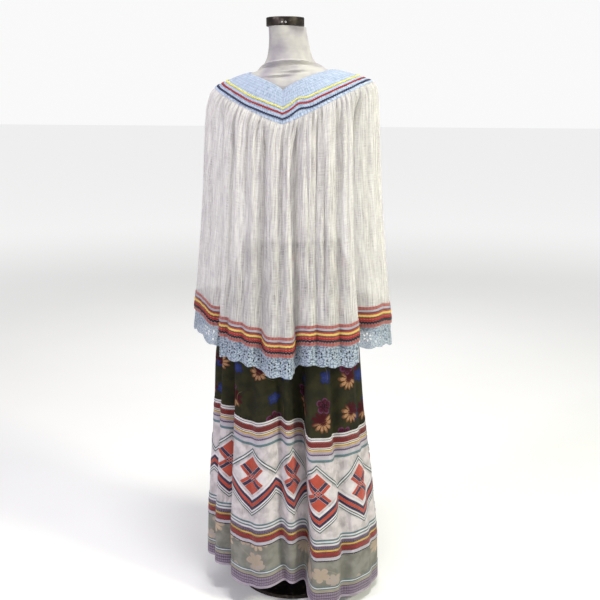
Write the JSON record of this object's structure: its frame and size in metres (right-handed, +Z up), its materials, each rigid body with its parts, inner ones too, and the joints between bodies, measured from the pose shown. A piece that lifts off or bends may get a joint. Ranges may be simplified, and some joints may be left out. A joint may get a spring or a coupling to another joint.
{
  "type": "seminole patchwork outfit on a dress form",
  "caption": "Gathered gauze cape with a V-shaped braided yoke and a lace hem over a long tiered patchwork skirt, on a limbless dress form with a stand.",
  "frame": {"origin": "middle of the underside of the stand's round base, on the floor", "axes": "+Z up, -Y towards the front of the outfit, +X to the viewer's right when facing it"},
  "size_m": [0.5654, 0.451, 1.5983],
  "materials": {
    "gauze": "off-white crinkled cotton gauze, thin enough to show dark cloth through it",
    "yoke_cotton": "light blue cotton, shirred in fine upright rows",
    "lace": "light blue gathered lace with a scalloped edge",
    "yellow_rickrack": "yellow woven rickrack",
    "red_rickrack": "red woven rickrack",
    "navy_rickrack": "navy woven rickrack",
    "woven_ribbon": "rows of red, yellow, white and navy ribbon and rickrack",
    "floral_cotton": "dark olive cotton printed with scattered flowers",
    "plain_cotton": "off-white cotton ground with sewn strips",
    "patch_cotton": "pieced red-orange, white and navy cotton",
    "mauve_ribbon": "rows of mauve, grey and teal ribbon",
    "form_jersey": "matt off-white knit cover, stretched smooth",
    "dark_metal": "dark satin metal",
    "steel": "bright steel"
  },
  "bodies": {
    "root": {"form_body": "form_jersey", "form_neck_cap": "dark_metal", "form_pin_1": "steel", "form_pin_2": "steel", "stand_pole": "steel", "stand_base": "dark_metal", "yoke_left": "yoke_cotton", "yoke_right": "yoke_cotton", "yoke_rickrack_yellow": "yellow_rickrack", "yoke_rickrack_red": "red_rickrack", "yoke_rickrack_navy": "navy_rickrack", "cape_front": "gauze", "cape_back": "gauze", "cape_ribbons": "woven_ribbon", "lace_front": "lace", "lace_back": "lace", "skirt_waistband": "floral_cotton", "skirt_floral_upper": "floral_cotton", "skirt_patchwork": "plain_cotton", "skirt_floral_lower": "floral_cotton", "skirt_ribbon_upper": "woven_ribbon", "skirt_ribbon_lower": "woven_ribbon", "skirt_ribbon_hem": "mauve_ribbon", "skirt_patch_01": "patch_cotton", "skirt_patch_02": "patch_cotton", "skirt_patch_03": "patch_cotton", "skirt_patch_04": "patch_cotton", "skirt_patch_05": "patch_cotton", "skirt_patch_06": "patch_cotton", "skirt_patch_07": "patch_cotton", "skirt_patch_08": "patch_cotton", "skirt_patch_09": "patch_cotton", "skirt_patch_10": "patch_cotton", "skirt_patch_11": "patch_cotton", "skirt_patch_12": "patch_cotton"}
  },
  "joints": []
}
